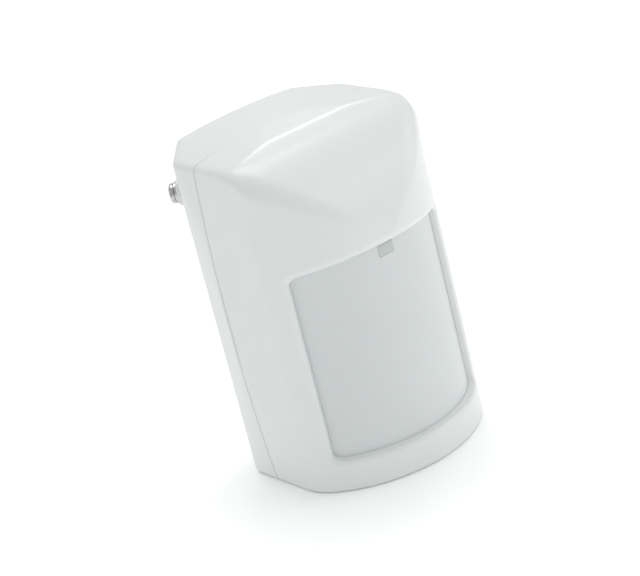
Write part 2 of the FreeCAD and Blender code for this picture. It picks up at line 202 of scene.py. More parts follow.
def case_form(points):
    """Distance outside the case's outer form, negative inside."""
    p = np.stack([np.abs(points[..., 0]), points[..., 1], points[..., 2]], -1)
    y, z = p[..., 1], p[..., 2]
    ahead = p * 1.0
    ahead[..., 1] = np.minimum(y, front_axis_y)
    beyond, way = round_side(ahead, (0, 1), (0, front_axis_y), front_radius)
    flare = flare_out * np.clip((z - flare_low) / flare_tall, 0, 1) ** 2
    front = (beyond - flare * np.clip(p[..., 0] / shoulder[0], 0, 1) ** 2, way)
    low = p * 1.0
    low[..., 1] = np.minimum(y, hood_axis[0])
    low[..., 2] = np.maximum(z, hood_axis[1])
    hood = round_side(low, (1, 2), hood_axis, hood_radius)
    slope = np.array([0.0, -top_slope, 1.0]) / math.hypot(top_slope, 1)
    top = (p - np.array([0, ridge_y, ridge_z])) @ slope, slope + 0 * p
    arch = round_side(p, (0, 2), (0, height - top_radius), top_radius)
    roof = rounded(hood, rounded(top, arch, arch_round), hood_round)
    form = rounded(front, roof, brow_round)
    rear_side = flat_side(p, bevel_corner, seam_corner)
    sides = rounded(rear_side, flat_side(p, seam_corner, shoulder), seam_round)
    bow = round_side(p, (0, 2), (half_width - side_radius, height / 2), side_radius)
    sides = rounded(sides, bow, bow_round)
    form = rounded(form, sides, np.interp(z, shoulder_heights, shoulder_rounds))
    wall = y - wall_y, np.array([0.0, 1.0, 0.0]) + 0 * p
    rear = rounded(flat_side(p, wall_corner, bevel_corner), wall, wall_round)
    form = rounded(form, rear, rear_round)
    ground = -z, np.array([0.0, 0.0, -1.0]) + 0 * p
    return rounded(form, ground, foot_round)[0]


def meet_form(start, direction, inset):
    """Where rays from inside meet the form drawn in by the inset."""
    longest, halvings = 120 * mm, 26
    near = np.zeros(direction.shape[:-1])
    far = np.full(direction.shape[:-1], longest)
    for _ in range(halvings):
        mid = (near + far) / 2
        inside = case_form(start + direction * mid[..., None]) + inset < 0
        near = np.where(inside, mid, near)
        far = np.where(inside, far, mid)
    return start + direction * near[..., None]


def between(a, b, share):
    """Unit directions turned from a to b by the share of the angle between them."""
    angle = np.arccos(np.clip((a * b).sum(-1), -1, 1))[..., None]
    share = share[..., None]
    mixed = np.sin((1 - share) * angle) * a + np.sin(share * angle) * b
    return mixed / np.linalg.norm(mixed, axis=-1, keepdims=True)


def spread(points, count, pull, closed):
    """Shares along a line of points at even steps of length, closer where it turns."""
    run = np.diff(points, axis=0, append=points[:1]) if closed else np.diff(points, axis=0)
    length = np.linalg.norm(run, axis=-1)
    way = run / np.maximum(length, 1e-12)[..., None]
    bend = np.linalg.norm(np.diff(way, axis=0, prepend=way[:1]), axis=-1)
    weight = length + pull * bend
    total = np.concatenate([np.zeros((1,) + weight.shape[1:]), np.cumsum(weight, axis=0)])
    steps = np.linspace(0, 1, count, endpoint=not closed)
    places = np.linspace(0, 1, len(total))
    if total.ndim == 1:
        return np.interp(steps * total[-1], total, places)
    return np.array([np.interp(steps * t[-1], t, places) for t in total.T]).T


def skin(start, first, last, inset, rows):
    """Rows of points on the form, from the first directions to the last ones."""
    share = np.linspace(0, 1, 161)[:, None] * np.ones(len(first))
    fine = meet_form(start, between(first[None], last[None], share), inset)
    share = spread(fine, rows, 2.5 * mm, False)
    return meet_form(start, between(first[None], last[None], share), inset)


def rim_directions(start, count):
    """Directions round the case in the plane of the seam, from the bottom middle."""
    angle = np.linspace(0, 2 * math.pi, 1441)[:-1]
    way = np.stack([np.sin(angle), 0 * angle, -np.cos(angle)], -1)
    angle = spread(meet_form(start, way, 0), count, 6 * mm, True) * 2 * math.pi
    return np.stack([np.sin(angle), 0 * angle, -np.cos(angle)], -1)


def woven_mesh(name, rows, closed):
    """Closed mesh from rings of points; the ends are drawn to a point unless they join up."""
    count, columns = len(rows), len(rows[0])
    verts = np.concatenate(rows).tolist()
    a = np.arange(columns)
    b = (a + 1) % columns
    faces = []
    for r in range(count if closed else count - 1):
        low, high = r * columns, ((r + 1) % count) * columns
        faces += np.stack([low + a, low + b, high + b, high + a], -1).tolist()
    if not closed:
        for row, order in ((0, 1), (count - 1, -1)):
            verts.append(rows[row].mean(0).tolist())
            for i, j in zip(a.tolist(), b.tolist()):
                faces.append([row * columns + j, row * columns + i, len(verts) - 1][::order])
    mesh = bpy.data.meshes.new(name)
    mesh.from_pydata(verts, [], faces)
    mesh.update()
    return mesh


def smooth(mesh, angle=32):
    """Smooth faces, with hard edges above the angle."""
    mesh.polygons.foreach_set("use_smooth", [True] * len(mesh.polygons))
    mesh.set_sharp_from_angle(angle=math.radians(angle))
    return mesh


def finish_mesh(mesh, angle=32):
    """Normals outwards, smooth faces, hard edges above the angle."""
    work = bmesh.new()
    work.from_mesh(mesh)
    bmesh.ops.recalc_face_normals(work, faces=work.faces)
    work.to_mesh(mesh)
    work.free()
    return smooth(mesh, angle)


def turned(profile, place, way, sides=48):
    """Round solid from (radius, length) pairs, standing at a place along a direction."""
    rings = []
    angle = np.linspace(0, 2 * math.pi, sides, endpoint=False)
    lie = Vector((0, 0, 1)).rotation_difference(Vector(way)).to_matrix()
    for radius, length in profile:
        ring = np.stack([radius * np.cos(angle), radius * np.sin(angle), length + 0 * angle], -1)
        rings.append(ring @ np.array(lie).T + np.array(place))
    return finish_mesh(woven_mesh("turned", rings, False))


def bar(low, high, edge):
    """Box with rounded edges between two corners."""
    work = bmesh.new()
    bmesh.ops.create_cube(work, size=1)
    size = Vector(high) - Vector(low)
    centre = (Vector(high) + Vector(low)) / 2
    for vert in work.verts:
        vert.co = Vector(vert.co[i] * size[i] for i in range(3)) + centre
    if edge:
        bmesh.ops.bevel(work, geom=work.edges[:], offset=edge, segments=3,
                        affect="EDGES", profile=0.5)
    mesh = bpy.data.meshes.new("bar")
    work.to_mesh(mesh)
    work.free()
    return finish_mesh(mesh, 50)


def cut(mesh, cutters):
    """The mesh with every cutter taken out of it."""
    piece = add_object("whole", mesh)
    tools = []
    for cutter in cutters:
        tools.append(add_object("cutter", cutter))
        trim = piece.modifiers.new("trim", "BOOLEAN")
        trim.operation = "DIFFERENCE"
        trim.solver = "EXACT"
        trim.object = tools[-1]
    solved = piece.evaluated_get(bpy.context.evaluated_depsgraph_get())
    result = bpy.data.meshes.new_from_object(solved)
    for thing in [piece, *tools]:
        bpy.data.objects.remove(thing)
    result.materials.clear()
    return smooth(result)


def joined(meshes):
    """One mesh from several."""
    work = bmesh.new()
    for mesh in meshes:
        work.from_mesh(mesh)
    whole = bpy.data.meshes.new("joined")
    work.to_mesh(whole)
    work.free()
    return smooth(whole)


def dress(mesh, material):
    """The mesh in one material only."""
    mesh.materials.clear()
    mesh.materials.append(material)


def add_piece(name, mesh, material, body, nodes):
    """Finished piece that rides on a body and stands for any CAD nodes named."""
    piece = add_object(name, mesh)
    dress(mesh, material)
    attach(piece, body)
    if nodes:
        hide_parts(*nodes)


def cloudy_colour(nodes, links, socket, colour, other, scale, detail=3):
    """Two close colours that drift into each other over the surface."""
    place = nodes.new("ShaderNodeTexCoord")
    cloud = nodes.new("ShaderNodeTexNoise")
    cloud.inputs["Scale"].default_value = scale
    cloud.inputs["Detail"].default_value = detail
    links.new(place.outputs["Object"], cloud.inputs["Vector"])
    tint = nodes.new("ShaderNodeValToRGB")
    tint.color_ramp.elements[0].position = 0.32
    tint.color_ramp.elements[0].color = (*colour, 1)
    tint.color_ramp.elements[1].position = 0.68
    tint.color_ramp.elements[1].color = (*other, 1)
    links.new(cloud.outputs["Fac"], tint.inputs["Fac"])
    links.new(tint.outputs["Color"], socket)
    return place


def fine_grain(nodes, links, shader, place, scale, depth, strength):
    """Small relief on the surface."""
    grain = nodes.new("ShaderNodeTexNoise")
    grain.inputs["Scale"].default_value = scale
    grain.inputs["Detail"].default_value = 2
    links.new(place.outputs["Object"], grain.inputs["Vector"])
    bump = nodes.new("ShaderNodeBump")
    bump.inputs["Strength"].default_value = strength
    bump.inputs["Distance"].default_value = depth
    links.new(grain.outputs["Fac"], bump.inputs["Height"])
    links.new(bump.outputs["Normal"], shader.inputs["Normal"])


def moulded(name, colour, roughness, shift=0.03, grain=0.15, coat=0.0):
    """Moulded plastic: a faint cloudiness in its colour and a fine skin from the mould."""
    material, nodes, links, shader = shader_of(name)
    shader.inputs["Roughness"].default_value = roughness
    shader.inputs["Coat Weight"].default_value = coat
    shader.inputs["Coat Roughness"].default_value = 0.14
    deep = tuple(c * (1 - shift) for c in colour)
    place = cloudy_colour(nodes, links, shader.inputs["Base Color"], deep, colour, 55)
    fine_grain(nodes, links, shader, place, 1400, 0.05 * mm, grain)
    return material


case_white = moulded("case_white", (0.765, 0.79, 0.782), 0.33, 0.02, 0.12, 0.3)

columns, outer_rows, inner_rows = 320, 96, 40
nearly_back = 0.997
closing_low, closing_tall, closing_share = 84.2 * mm, 0.8 * mm, 0.85

middle = np.array([0, seam_y, height / 2])
rim = rim_directions(middle, columns)
backward = np.array([0.0, 1.0, 0.0])
back_end = between(rim, backward + 0 * rim, np.full(columns, nearly_back))
outer = skin(middle, rim, back_end, 0, outer_rows)
inner = skin(middle, rim, back_end, case_wall, inner_rows)


def rim_step(ring):
    """Width of the rim's rounded edge: it all but closes along the top."""
    closing = np.clip((ring[:, 2] - closing_low) / closing_tall, 0, 1)
    return rim_edge * (1 - closing_share * closing), closing


rim_round, _ = rim_step(outer[0])
outer[0] = outer[0] + rim_round[:, None] * backward
inner[0] = inner[0] + rim_round[:, None] * backward
lips = [meet_form(middle, rim, rim_round), meet_form(middle, rim, case_wall - rim_round)]
shell = finish_mesh(woven_mesh("rear_case_shell", [*outer[::-1], *lips, *inner], False))

board_low, board_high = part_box("circuit_board")
inside_y = wall_y - case_wall
post_front = board_high.y + 0.1 * mm
post_back = wall_y - 1.0 * mm
clamp_z = (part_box("board_clamp_screw")[0].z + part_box("board_clamp_screw")[1].z) / 2
bevel_run = Vector((bevel_corner[0] - wall_corner[0], bevel_corner[1] - wall_corner[1], 0))
bevel_out = Vector((-bevel_run.y, bevel_run.x, 0)).normalized()
bevel_hole_place = 6.0 * mm
bevel_hole_z, bevel_hole_radius = (14.0 * mm, 74.5 * mm), 1.8 * mm
wall_hole_z, wall_hole_radius = (22.0 * mm, 62.0 * mm), 2.0 * mm
entry_half, entry_low, entry_high = 6 * mm, 5 * mm, 12 * mm
post_places = ((-16, 20), (16, 20), (-16, 66), (16, 66))
rib_low, rib_high = 26 * mm, 60 * mm


def on_bevel(side, z, out):
    """Place over the fixing holes of a bevel, standing out from it, and its direction."""
    spot = Vector((*bevel_corner, z)) - bevel_run.normalized() * bevel_hole_place
    spot = spot + bevel_out * out
    return Vector((side * spot.x, spot.y, z)), Vector((side * bevel_out.x, bevel_out.y, 0))


def pin(radius, length):
    """Profile of a plain round cutter."""
    return [(radius, 0), (radius, length)]


cutters = [turned(pin(wall_hole_radius, 6 * mm), (0, wall_y - 4 * mm, z), (0, 1, 0))
           for z in wall_hole_z]
for side in (-1, 1):
    for z in bevel_hole_z:
        cutters.append(turned(pin(bevel_hole_radius, 8 * mm), *on_bevel(side, z, -4 * mm)))
cutters.append(bar((-entry_half, inside_y - 1 * mm, entry_low),
                   (entry_half, wall_y + 1 * mm, entry_high), 0.8 * mm))
shell = cut(shell, cutters)

inside = []
post_long = post_back - post_front
post = [(2.7 * mm, 0), (2.5 * mm, 3 * mm), (2.4 * mm, 6 * mm), (2.4 * mm, post_long - 0.2 * mm),
        (2.2 * mm, post_long)]
for x, z in post_places:
    inside.append(turned(post, (x * mm, post_back, z * mm), (0, -1, 0)))
boss = [(3.3 * mm, 0), (3.2 * mm, 3 * mm), (3.2 * mm, post_long - 0.2 * mm),
        (3.0 * mm, post_long), (1.25 * mm, post_long), (1.25 * mm, 1.5 * mm)]
inside.append(turned(boss, (0, post_back, clamp_z), (0, -1, 0)))
rib_x = (board_high.x + 0.2 * mm, board_high.x + 1.7 * mm)
for side in (-1, 1):
    ends = sorted((side * rib_x[0], side * rib_x[1]))
    low_y, high_y = board_low.y - 0.8 * mm, wall_y - 6.0 * mm
    inside.append(bar((ends[0], low_y, rib_low), (ends[1], high_y, rib_high), 0.25 * mm))
inside.append(bar((-6 * mm, seam_y - 3.5 * mm, 2.3 * mm),
                  (6 * mm, seam_y + 5 * mm, 3.7 * mm), 0.3 * mm))
inside.append(bar((-6 * mm, seam_y + 2 * mm, 1.0 * mm),
                  (6 * mm, seam_y + 5 * mm, 3.0 * mm), 0.3 * mm))
pad = [(3.6 * mm, 0), (3.4 * mm, 1.5 * mm), (3.4 * mm, 2.7 * mm), (3.2 * mm, 2.9 * mm),
       (bevel_hole_radius, 2.9 * mm), (bevel_hole_radius, 0.2 * mm)]
inside.append(turned(pad, *on_bevel(-1, bevel_hole_z[1], -1.5 * mm)))
add_piece("rear_shell", joined([shell, *inside]), case_white, "base", ["rear_case"])

# ---------------------------------------------------------------------------------------------
# Front cover: one white moulding with the lens window cut through its bowed front. The window's
# edge is rounded most along the hood's lip and the sides. Two tongues hook under the rear
# case's top wall, and a rib presses the tamper switch.

seam_gap = 0.25 * mm
window_half = 22.1 * mm
window_low, window_high = 8.5 * mm, 56.3 * mm
window_arch = 1.9 * mm
window_corner = 1.7 * mm
lip_edge, side_edge, sill_edge = 1.8 * mm, 1.1 * mm, 0.8 * mm
side_draft, sill_draft = 0.8, 0.3
edge_depth = 0.65
edge_flatness = 1.4
closed_gap = 0.04 * mm
cover_rows, cover_inner_rows, edge_rows = 120, 50, 11
flat_steps, arc_steps, upright_steps = 40, 25, 60
tongue_xs, tongue_half = (-13.0 * mm, 13.0 * mm), 3 * mm


def window_outline(count):
    """Points and outward normals round the window, from the bottom middle."""
    w, r = window_half, window_corner
    quarter = np.linspace(0, math.pi / 2, arc_steps)
    rise = np.linspace(window_low + r, window_high - r, upright_steps)
    right = [np.stack([np.linspace(0, w - r, flat_steps), np.full(flat_steps, window_low)], -1),
             np.stack([w - r + r * np.sin(quarter), window_low + r - r * np.cos(quarter)], -1),
             np.stack([np.full(upright_steps, w), rise], -1),
             np.stack([w - r + r * np.cos(quarter), window_high - r + r * np.sin(quarter)], -1),
             np.stack([np.linspace(w - r, 0, flat_steps), np.full(flat_steps, window_high)], -1)]
    right = np.concatenate(right)
    right[:, 1] += window_arch * (1 - (right[:, 0] / w) ** 2) * (right[:, 1] > height / 3)
    keep = np.linalg.norm(np.diff(right, axis=0, prepend=right[:1] - 1), axis=-1) > 1e-7
    right = right[keep]
    loop = np.concatenate([right, right[-2:0:-1] * np.array([-1, 1])])
    share = spread(loop, count, 1.2 * mm, True) * len(loop)
    closed = np.concatenate([loop, loop[:1]])
    marks = np.arange(len(closed))
    outline = np.stack([np.interp(share, marks, closed[:, i]) for i in (0, 1)], -1)
    run = np.roll(outline, -1, 0) - np.roll(outline, 1, 0)
    normal = np.stack([run[:, 1], -run[:, 0]], -1)
    return outline, normal / np.linalg.norm(normal, axis=-1, keepdims=True)


def window_ring(grow, inset):
    """Window outline grown outwards, laid on the form drawn in by the inset."""
    flat = outline + normal * (grow + np.zeros(len(outline)))[:, None]
    start = np.stack([flat[:, 0], np.full(len(flat), seam_y - 1 * mm), flat[:, 1]], -1)
    return meet_form(start, np.array([[0.0, -1.0, 0.0]]) + 0 * start, inset)


def toward(points):
    """Directions from the middle of the cover's rim to the points."""
    way = points - middle
    return way / np.linalg.norm(way, axis=-1, keepdims=True)


middle = np.array([0, seam_y - seam_gap, 36 * mm])
rim = rim_directions(middle, columns)
outline, normal = window_outline(columns)
lip_share = np.clip(normal[:, 1], 0, 1)
sill_share = np.clip(-normal[:, 1], 0, 1)
window_edge = side_edge + (lip_edge - side_edge) * lip_share
window_edge = window_edge + (sill_edge - side_edge) * sill_share
draft = side_draft * normal[:, 0] ** 2 + sill_draft * sill_share


def edge_ring(share):
    """Ring on the window's bevelled edge: share 0 is its outer end, 1 the start of the wall."""
    turn = share * math.pi / 2
    across = 1 - math.sin(turn) ** (2 / edge_flatness)
    inset = window_edge * edge_depth * (1 - math.cos(turn) ** (2 / edge_flatness))
    return window_ring(window_edge * across + draft * (case_wall - inset), inset)


outer = skin(middle, rim, toward(edge_ring(0)), 0, cover_rows)
inner = skin(middle, rim, toward(window_ring(0, case_wall)), case_wall, cover_inner_rows)
rim_round, closing = rim_step(outer[0])
lips = [meet_form(middle, rim, rim_round), meet_form(middle, rim, case_wall - rim_round)]
close_up = (closing * (seam_gap - closed_gap))[:, None] * backward
outer[0] = outer[0] - rim_round[:, None] * backward + close_up
inner[0] = inner[0] - rim_round[:, None] * backward + close_up
rounding = [edge_ring(share) for share in np.linspace(0, 1, edge_rows)[1:]]
rings = [lips[0] + close_up, *outer, *rounding, *inner[::-1], lips[1] + close_up]
shell = finish_mesh(woven_mesh("front_cover_shell", rings, True))
inside = []
for x in tongue_xs:
    ends = (x - tongue_half, x + tongue_half)
    inside.append(bar((ends[0], -2 * mm, 81.3 * mm),
                      (ends[1], seam_y + 1.6 * mm, 82.7 * mm), 0.3 * mm))
    inside.append(bar((ends[0], -2 * mm, 81.5 * mm),
                      (ends[1], 2 * mm, height - 1.4 * mm), 0.2 * mm))
plunger_low, plunger_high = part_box("tamper_plunger")
press_x = (plunger_low.x + plunger_high.x) / 2
press_z = (plunger_low.z + plunger_high.z) / 2
inside.append(bar((press_x - 2 * mm, -16.5 * mm, press_z - 4 * mm),
                  (press_x + 2 * mm, plunger_low.y - 0.3 * mm, press_z + 4 * mm), 0.3 * mm))
add_piece("cover_shell", joined([shell, *inside]), case_white, "cover",
          ["front_cover"])

# ---------------------------------------------------------------------------------------------
# Lens: a thin milky sheet of polyethylene, smooth outside and moulded inside with the ringed
# zones of a many-part Fresnel lens. It is bent behind the window and held by a frame.

lens_thick = 0.7 * mm
lens_radius = front_radius - case_wall - 0.05 * mm
lens_low, lens_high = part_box("fresnel_lens")
behind_lip = 1.4 * mm
lens_arch = lens_high.z - window_high - behind_lip
across_count, up_count = 212, 200
zone_rows = ((0.0, 0.36, 3), (0.36, 0.68, 5), (0.68, 1.0, 7))
ring_pitch = 0.75 * mm
groove_depth = 0.14 * mm
plain_side, plain_end = 0.03, 0.02
notch_play = 0.05 * mm

u, v = np.meshgrid(np.linspace(-1, 1, across_count), np.linspace(0, 1, up_count), indexing="ij")
lens_x = u * lens_high.x
lens_top = window_high + behind_lip + lens_arch * (1 - np.clip(u, -1, 1) ** 2)
lens_z = lens_low.z + v * (lens_top - lens_low.z)
groove = np.zeros(u.shape)
lens_tall = lens_high.z - lens_low.z
arc_x = lens_radius * np.arcsin(lens_x / lens_radius)
for low, high, zones in zone_rows:
    wide = 2 * arc_x.max() / zones
    centre_x = (np.floor(arc_x / wide + zones / 2) + 0.5 - zones / 2) * wide
    centre_z = lens_low.z + lens_tall * (low + high) / 2
    reach = np.hypot(arc_x - centre_x, lens_z - centre_z)
    saw = (reach / ring_pitch) % 1.0
    groove = np.where((v >= low) & (v <= high), saw * groove_depth, groove)
border = (np.abs(u) > 1 - plain_side) | (v < plain_end) | (v > 1 - plain_end)
groove = np.where(border, 0, groove)
shells = []
for depth in (np.zeros(u.shape), lens_thick - groove):
    r = lens_radius - depth
    shells.append(np.stack([r * np.sin(arc_x / lens_radius),
                            front_axis_y - r * np.cos(arc_x / lens_radius), lens_z], -1))
verts = np.concatenate([s.reshape(-1, 3) for s in shells])
index = np.arange(u.size).reshape(u.shape)
front = np.stack([index[:-1, :-1], index[1:, :-1], index[1:, 1:], index[:-1, 1:]], -1)
front = front.reshape(-1, 4)
faces = front.tolist() + (front[:, ::-1] + u.size).tolist()
loop = [*index[:-1, 0], *index[-1, :-1], *index[:0:-1, -1], *index[0, :0:-1]]
for a, b in zip(loop, loop[1:] + loop[:1]):
    faces.append([int(b), int(a), int(a + u.size), int(b + u.size)])
lens_mesh = bpy.data.meshes.new("lens_sheet")
lens_mesh.from_pydata(verts.tolist(), [], faces)
lens_mesh = finish_mesh(lens_mesh, 40)
tab_low, tab_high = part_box("indicator_light_guide")
tab_low = Vector((tab_low.x, front_axis_y - lens_radius, tab_low.z))
notch = bar((tab_low.x - notch_play, front_y, tab_low.z - notch_play),
            (tab_high.x + notch_play, front_y + 6 * mm, tab_high.z + notch_play), 0.2 * mm)
lens_mesh = cut(lens_mesh, [notch])

lens_white, nodes, links, shader = shader_of("lens_white")
shader.inputs["Roughness"].default_value = 0.42
shader.inputs["Subsurface Weight"].default_value = 0.25
shader.inputs["Subsurface Scale"].default_value = 1.5 * mm
place = cloudy_colour(nodes, links, shader.inputs["Base Color"],
                      (0.672, 0.694, 0.690), (0.692, 0.716, 0.712), 34)
fine_grain(nodes, links, shader, place, 900, 0.04 * mm, 0.12)
add_piece("lens_sheet", lens_mesh, lens_white, "cover", ["fresnel_lens"])

# ---------------------------------------------------------------------------------------------
# Lens frame: a thin satin-grey moulded border that clips in behind the sheet and presses its
# edge against the cover. It keeps its CAD shape.

frame_grey = moulded("frame_grey", (0.60, 0.62, 0.61), 0.45, 0.06)
dress(frame["nodes"]["lens_frame"].data, frame_grey)

# ---------------------------------------------------------------------------------------------
# Indicator window: a small smoky tab let into the lens under the hood's lip, moulded in one
# with the rod that leads the lamp's light forward.

guide_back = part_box("indicator_light_guide")[1].y
guide_z = (tab_low.z + tab_high.z) / 2
tab_proud, tab_thick = 0.06 * mm, 1.0 * mm
tab = bar((tab_low.x, tab_low.y - tab_proud, tab_low.z),
          (tab_high.x, tab_low.y + tab_thick, tab_high.z), 0.2 * mm)
guide_long = guide_back - tab_low.y - 0.5 * mm
guide_shape = [(1.3 * mm, 0), (1.1 * mm, 1.2 * mm), (1.1 * mm, guide_long - 0.25 * mm),
               (0.85 * mm, guide_long)]
rod = turned(guide_shape, (0, tab_low.y + 0.5 * mm, guide_z), (0, 1, 0), 32)
smoky = moulded("smoky", (0.565, 0.588, 0.590), 0.36, 0.08)
add_piece("indicator_window", joined([tab, rod]), smoky, "cover",
          ["indicator_light_guide"])

# ---------------------------------------------------------------------------------------------
# Screws: bright zinc-plated steel, pan heads with a cross recess. One stands in the upper hole
# of the left bevel, one clamps the board, and six small ones close the terminal block.

steel, nodes, links, shader = shader_of("zinc_plated_steel")
shader.inputs["Metallic"].default_value = 1.0
shader.inputs["Roughness"].default_value = 0.24
place = cloudy_colour(nodes, links, shader.inputs["Base Color"],
                      (0.42, 0.42, 0.41), (0.66, 0.66, 0.65), 900)
fine_grain(nodes, links, shader, place, 2600, 0.02 * mm, 0.25)


def screw_mesh(core, length, head, tall):
    """Pan-head screw on +Z with its seat at zero: head, threaded shank and point."""
    crown = [(0.0, tall)] + [(head * math.sin(a), tall * (0.45 + 0.55 * math.cos(a)))
                             for a in np.linspace(0.15, math.pi / 2, 9)]
    under = [(head, 0.12 * tall), (head * 0.93, 0.0), (core * 1.02, 0.0)]
    pitch = core * 0.62
    shank = []
    turns = int((length - core * 2.2) / pitch)
    for i in range(turns):
        z = -core * 0.4 - i * pitch
        shank += [(core * 0.76, z), (core * 0.76, z - pitch * 0.35), (core, z - pitch * 0.55)]
    tip = [(core * 0.76, -length + core * 1.3), (core * 0.2, -length)]
    body = turned((crown[1:] + under + shank + tip)[::-1], (0, 0, 0), (0, 0, 1), 40)
    reach, slit, deep = head * 0.55, head * 0.13, tall * 0.5
    arms = [bar((-reach, -slit, tall - deep), (reach, slit, tall + core), 0),
            bar((-slit, -reach, tall - deep), (slit, reach, tall + core), 0)]
    return cut(body, arms)


def laid(mesh, place, way):
    """Copy of a mesh that stood on +Z, moved to a place along a direction."""
    copy = mesh.copy()
    lie = Vector((0, 0, 1)).rotation_difference(Vector(way)).to_matrix().to_4x4()
    copy.transform(Matrix.Translation(Vector(place)) @ lie)
    return copy


seat, way = on_bevel(-1, bevel_hole_z[1], 1.45 * mm)
washer = [(1.6 * mm, 0), (2.6 * mm, 0), (2.72 * mm, 0.12 * mm), (2.72 * mm, 0.5 * mm),
          (2.6 * mm, 0.6 * mm), (1.6 * mm, 0.6 * mm)]
washer = turned(washer, seat, way)
head_seat = seat + way * 0.65 * mm
corner_screw = laid(screw_mesh(1.5 * mm, 9.4 * mm, 2.5 * mm, 1.7 * mm), head_seat, way)
add_piece("corner_screw", joined([washer, corner_screw]), steel, "base",
          ["corner_mount_screw"])

clamp_seat = Vector((0, board_low.y - 0.05 * mm, clamp_z))
clamp_screw = laid(screw_mesh(1.23 * mm, 9.0 * mm, 2.75 * mm, 2.0 * mm), clamp_seat, (0, -1, 0))
add_piece("clamp_screw", clamp_screw, steel, "base", ["board_clamp_screw"])


def repeat_in_row(name, mesh, material, inputs, layout):
    """Copies of a mesh placed by a node tree, made into one plain mesh."""
    tree = bpy.data.node_groups.new(name, "GeometryNodeTree")
    tree.interface.new_socket("Geometry", in_out="OUTPUT", socket_type="NodeSocketGeometry")
    sockets = {}
    for label, value in inputs.items():
        kind = "NodeSocketObject" if value is None else (
            "NodeSocketInt" if isinstance(value, int) else "NodeSocketFloat")
        sockets[label] = tree.interface.new_socket(label, in_out="INPUT", socket_type=kind)
    nodes, links = tree.nodes, tree.links
    entry, leave = nodes.new("NodeGroupInput"), nodes.new("NodeGroupOutput")
    shape = nodes.new("GeometryNodeObjectInfo")
    links.new(entry.outputs["Shape"], shape.inputs["Object"])
    points = layout(nodes, links, entry)
    stamp = nodes.new("GeometryNodeInstanceOnPoints")
    links.new(points, stamp.inputs["Points"])
    links.new(shape.outputs["Geometry"], stamp.inputs["Instance"])
    real = nodes.new("GeometryNodeRealizeInstances")
    links.new(stamp.outputs["Instances"], real.inputs["Geometry"])
    paint = nodes.new("GeometryNodeSetMaterial")
    paint.inputs["Material"].default_value = material
    links.new(real.outputs["Geometry"], paint.inputs["Geometry"])
    links.new(paint.outputs["Geometry"], leave.inputs["Geometry"])
    pattern = add_object("pattern", mesh)
    carrier = add_object("carrier", bpy.data.meshes.new("carrier"))
    rule = carrier.modifiers.new(name, "NODES")
    rule.node_group = tree
    for label, value in inputs.items():
        rule[sockets[label].identifier] = pattern if value is None else value
    bpy.context.view_layer.update()
    solved = carrier.evaluated_get(bpy.context.evaluated_depsgraph_get())
    result = bpy.data.meshes.new_from_object(solved)
    bpy.data.objects.remove(carrier)
    bpy.data.objects.remove(pattern)
    return smooth(result)


def grid_of_points(nodes, links, entry):
    """Points in columns along X and rows along Z, from the named inputs."""
    index = nodes.new("GeometryNodeInputIndex")

    def sum_of(kind, a, b):
        node = nodes.new("ShaderNodeMath")
        node.operation = kind
        for socket, value in zip(node.inputs, (a, b)):
            links.new(value, socket)
        return node.outputs[0]

    total = sum_of("MULTIPLY", entry.outputs["Columns"], entry.outputs["Rows"])
    cloud = nodes.new("GeometryNodePoints")
    links.new(total, cloud.inputs["Count"])
    column = sum_of("MODULO", index.outputs[0], entry.outputs["Columns"])
    whole = nodes.new("ShaderNodeMath")
    whole.operation = "FLOOR"
    links.new(sum_of("DIVIDE", index.outputs[0], entry.outputs["Columns"]), whole.inputs[0])
    place = nodes.new("ShaderNodeCombineXYZ")
    links.new(sum_of("ADD", entry.outputs["First X"],
                     sum_of("MULTIPLY", column, entry.outputs["Pitch X"])), place.inputs["X"])
    links.new(entry.outputs["Depth Y"], place.inputs["Y"])
    links.new(sum_of("ADD", entry.outputs["First Z"],
                     sum_of("MULTIPLY", whole.outputs[0], entry.outputs["Pitch Z"])),
              place.inputs["Z"])
    links.new(place.outputs["Vector"], cloud.inputs["Position"])
    return cloud.outputs[0]


def grid_inputs(columns, rows, first, pitch):
    """Named inputs of a grid: its counts, its first place and its steps."""
    return {"Shape": None, "Columns": columns, "Rows": rows, "First X": first[0],
            "Depth Y": first[1], "First Z": first[2], "Pitch X": pitch[0], "Pitch Z": pitch[1]}


block_low, block_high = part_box("terminal_block")
ways = 6
way_pitch = (block_high.x - block_low.x) / ways
well_z = block_high.z - 3.6 * mm
first_way = (block_low.x + way_pitch / 2, block_low.y + 2.4 * mm, well_z)
small_screw = laid(screw_mesh(1.2 * mm, 3.6 * mm, 1.75 * mm, 1.4 * mm), (0, 0, 0), (0, -1, 0))
row = grid_inputs(ways, 1, first_way, (way_pitch, 0.0))
row_of_screws = repeat_in_row("terminal_screw_row", small_screw, steel, row, grid_of_points)
add_piece("terminal_screw_row", row_of_screws, steel, "board", ["terminal_screws"])

# ---------------------------------------------------------------------------------------------
# Circuit board: glass-fibre laminate under a green solder mask, with copper tracks that show
# through it. It keeps its CAD shape; the solder joints on its back are small cones of tin.

board_green, nodes, links, shader = shader_of("board_green")
shader.inputs["Roughness"].default_value = 0.38
place = nodes.new("ShaderNodeTexCoord")
tracks = nodes.new("ShaderNodeTexBrick")
tracks.inputs["Scale"].default_value = 160
tracks.inputs["Mortar Size"].default_value = 0.10
tracks.inputs["Brick Width"].default_value = 1.7
tracks.inputs["Row Height"].default_value = 0.42
tracks.inputs["Color1"].default_value = (0.012, 0.105, 0.042, 1)
tracks.inputs["Color2"].default_value = (0.016, 0.125, 0.050, 1)
tracks.inputs["Mortar"].default_value = (0.045, 0.235, 0.095, 1)
flat = nodes.new("ShaderNodeMapping")
flat.inputs["Rotation"].default_value = (math.pi / 2, 0, 0)
links.new(place.outputs["Object"], flat.inputs["Vector"])
links.new(flat.outputs["Vector"], tracks.inputs["Vector"])
links.new(tracks.outputs["Color"], shader.inputs["Base Color"])
relief = nodes.new("ShaderNodeBump")
